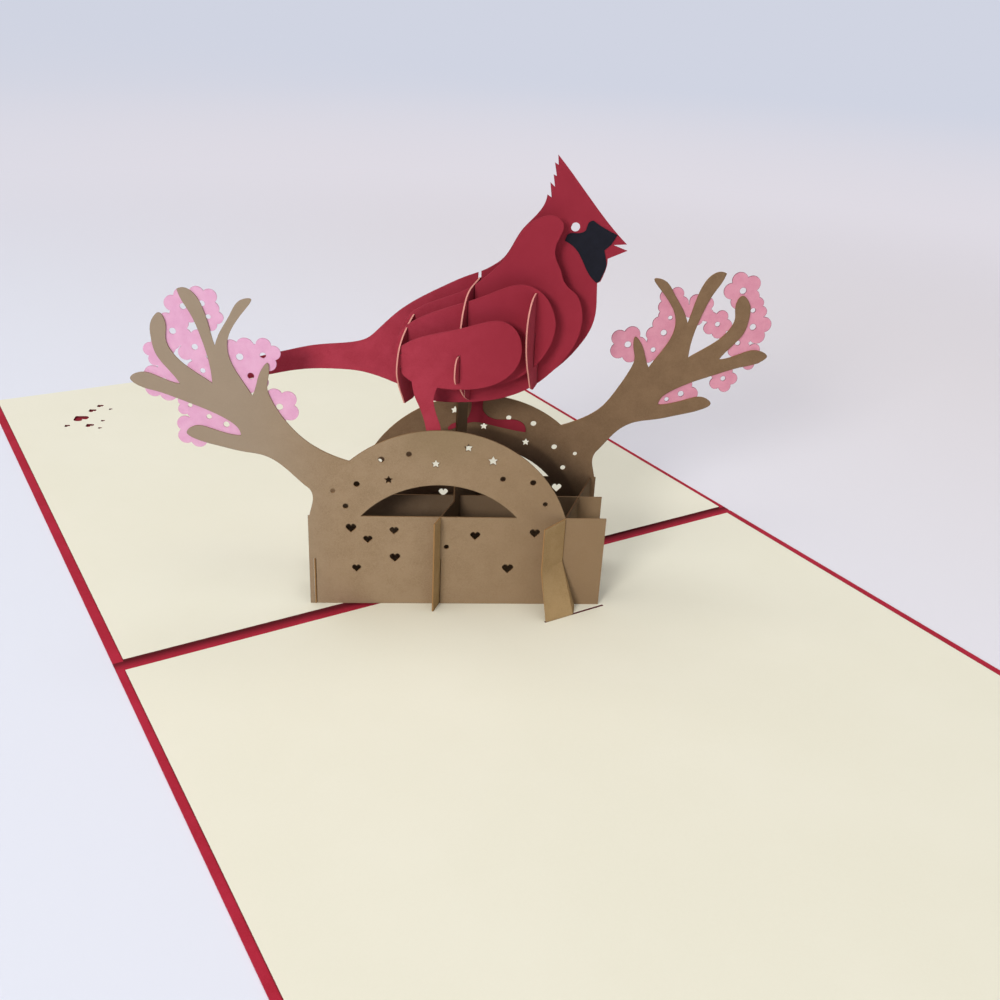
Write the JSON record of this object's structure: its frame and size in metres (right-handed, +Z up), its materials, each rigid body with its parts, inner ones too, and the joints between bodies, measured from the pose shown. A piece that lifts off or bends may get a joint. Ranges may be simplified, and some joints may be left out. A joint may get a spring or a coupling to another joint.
{
  "type": "pop up card",
  "caption": "Square greeting card lying open, with a paper scene standing on its fold: a red crested bird on kraft arches between branches with pink blossoms.",
  "frame": {"origin": "centre of the cover's underside, on the line of the fold", "axes": "+X along the fold, to the side that the bird looks to; +Y along the length of the opened card, to the page behind the bird; +Z up"},
  "size_m": [0.15, 0.3, 0.0894],
  "materials": {
    "cover_red": "matt red card",
    "page_cream": "matt cream paper",
    "kraft": "uncoated brown kraft with fine fibres",
    "blossom_pink": "matt pink paper with browned cut edges",
    "bird_red": "matt crimson card with paler cut edges",
    "mask_black": "matt black paper"
  },
  "bodies": {
    "root": {"cover": "cover_red", "front_page": "page_cream", "back_page": "page_cream", "front_arch_panel": "kraft", "back_arch_panel": "kraft", "middle_wall": "kraft", "left_cross_wall": "kraft", "centre_cross_wall": "kraft", "right_cross_wall": "kraft", "left_upper_blossoms": "blossom_pink", "left_lower_blossoms": "blossom_pink", "right_upper_blossoms": "blossom_pink", "right_lower_blossoms": "blossom_pink", "right_outer_blossom": "blossom_pink", "bird_profile": "bird_red", "near_shoulder_layer": "bird_red", "far_shoulder_layer": "bird_red", "near_flank_layer": "bird_red", "far_flank_layer": "bird_red", "near_wing": "bird_red", "far_wing": "bird_red", "rear_rib": "bird_red", "middle_rib": "bird_red", "front_rib": "bird_red", "near_face_mask": "mask_black", "far_face_mask": "mask_black"}
  },
  "joints": []
}
